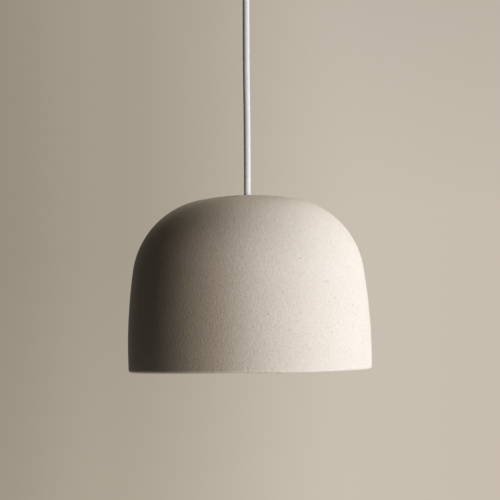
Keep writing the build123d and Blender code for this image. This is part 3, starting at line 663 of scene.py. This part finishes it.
def shade_unevenness(x, y, z):
    """Outward swell of the cast wall at a point, in metres: broad and shallow."""
    broad = noise.noise(Vector((x, y, z)) * BROAD_SWELLS_PER_M)
    close = noise.noise(Vector((x, y, z)) * CLOSE_SWELLS_PER_M + CLOSE_SWELL_SHIFT)
    return BROAD_SWELL * broad + CLOSE_SWELL * close


def rim_sag(x, z):
    """How far the rim has slumped at a point, in metres: most on the +X side, none higher up the wall."""
    side = min(1.0, max(0.0, (x - RIM_SAG_START_X) / (RIM_SAG_FULL_X - RIM_SAG_START_X)))
    near_rim = max(0.0, 1 - (z - RIM_Z) / RIM_SAG_REACH)
    return RIM_SAG * side * side * (3 - 2 * side) * near_rim * near_rim


def make_shade():
    """The stoneware dome, turned on its axis, a little uneven, and hanging slightly out of level."""
    outline = shade_outline()
    angles = np.linspace(0, 2 * math.pi, SHADE_SEGMENTS, endpoint=False)
    points = np.array([[(r * math.cos(a), r * math.sin(a), z) for a in angles] for r, z in outline])
    for row in points:
        for point in row:
            radius = math.hypot(point[0], point[1])
            if radius > 2 * CORD_HOLE_R:
                point[:2] *= 1 + shade_unevenness(*point) / radius
            point[2] -= rim_sag(point[0], point[2])
    shade = grid_mesh("stoneware_shade", points, close_rows=True)
    lean = (Matrix.Translation((0, 0, LEAN_PIVOT_Z)) @ Matrix.Rotation(math.radians(-SHADE_LEAN), 4, "Y")
            @ Matrix.Translation((0, 0, -LEAN_PIVOT_Z)))
    shade.data.transform(lean)
    shade.data.materials.append(materials["stoneware"])
    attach(shade, "pendant")
    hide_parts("shade")


# ---------------------------------------------------------------- cable

def route_line(route):
    """Points along the smooth NURBS curve that the route's points control."""
    data = bpy.data.curves.new("route", "CURVE")
    data.dimensions = "3D"
    data.resolution_u = NURBS_STEPS
    spline = data.splines.new("NURBS")
    spline.points.add(len(route) - 1)
    for point, place in zip(spline.points, route):
        point.co = (*place, 1)
    spline.order_u = NURBS_ORDER
    spline.use_endpoint_u = True
    holder = bpy.data.objects.new("route", data)
    bpy.context.scene.collection.objects.link(holder)
    mesh = bpy.data.meshes.new_from_object(holder)
    line = np.array([vertex.co for vertex in mesh.vertices])
    bpy.data.meshes.remove(mesh)
    bpy.data.objects.remove(holder)
    return line


def evenly(line, step):
    """The same line with points at even distances, and each point's distance along it."""
    along = np.concatenate([[0], np.cumsum(np.linalg.norm(np.diff(line, axis=0), axis=1))])
    wanted = np.linspace(0, along[-1], int(along[-1] / step) + 1)
    return np.stack([np.interp(wanted, along, line[:, axis]) for axis in range(3)], axis=1), wanted


def braid_height(around, along):
    """Relief of the braid from 0 to 1: two sets of yarns at opposite slants, over and under in turn."""
    rising = CABLE_CARRIERS * around + along / (2 * CABLE_CELL)
    falling = CABLE_CARRIERS * around - along / (2 * CABLE_CELL)
    rising_on_top = (np.floor(rising) + np.floor(falling)) % 2 == 0
    top = np.where(rising_on_top, rising, falling) % 1
    under = np.where(rising_on_top, falling, rising) % 1
    weave = YARN_UNDER_HEIGHT + (1 - YARN_UNDER_HEIGHT) * np.sin(math.pi * under)
    return np.sin(math.pi * top) ** YARN_ROUNDNESS * weave


def make_cable():
    """The free cable, with its braid as real relief."""
    line, along = evenly(route_line(CABLE_ROUTE), CABLE_STEP)
    around = np.arange(CABLE_AROUND) / CABLE_AROUND
    turn = 2 * math.pi * around
    height = braid_height(around[None, :], along[:, None])
    radius = CABLE_R - CABLE_RELIEF * (1 - height)
    points = np.stack([line[:, 0:1] + radius * np.cos(turn), line[:, 1:2] + radius * np.sin(turn),
                       np.repeat(line[:, 2:3], CABLE_AROUND, axis=1)], axis=-1)
    cable = grid_mesh("braided_cable", points, close_rows=False)
    cable.data.materials.append(materials["textile_cable"])
    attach(cable, "pendant")
    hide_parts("cable")


# ---------------------------------------------------------------- pieces whose CAD shape stays

def dress_cad_nodes():
    """Give every carried-over CAD piece its material."""
    slots = {part["node"]: part["material_slot"] for part in frame["record"]["subparts"]}
    for name, piece in frame["nodes"].items():
        for slot in piece.material_slots:
            slot.material = materials[slots[name]]


make_camera()
materials = lamp_materials()
make_cable()
make_shade()
dress_cad_nodes()
make_stage()
make_lights()
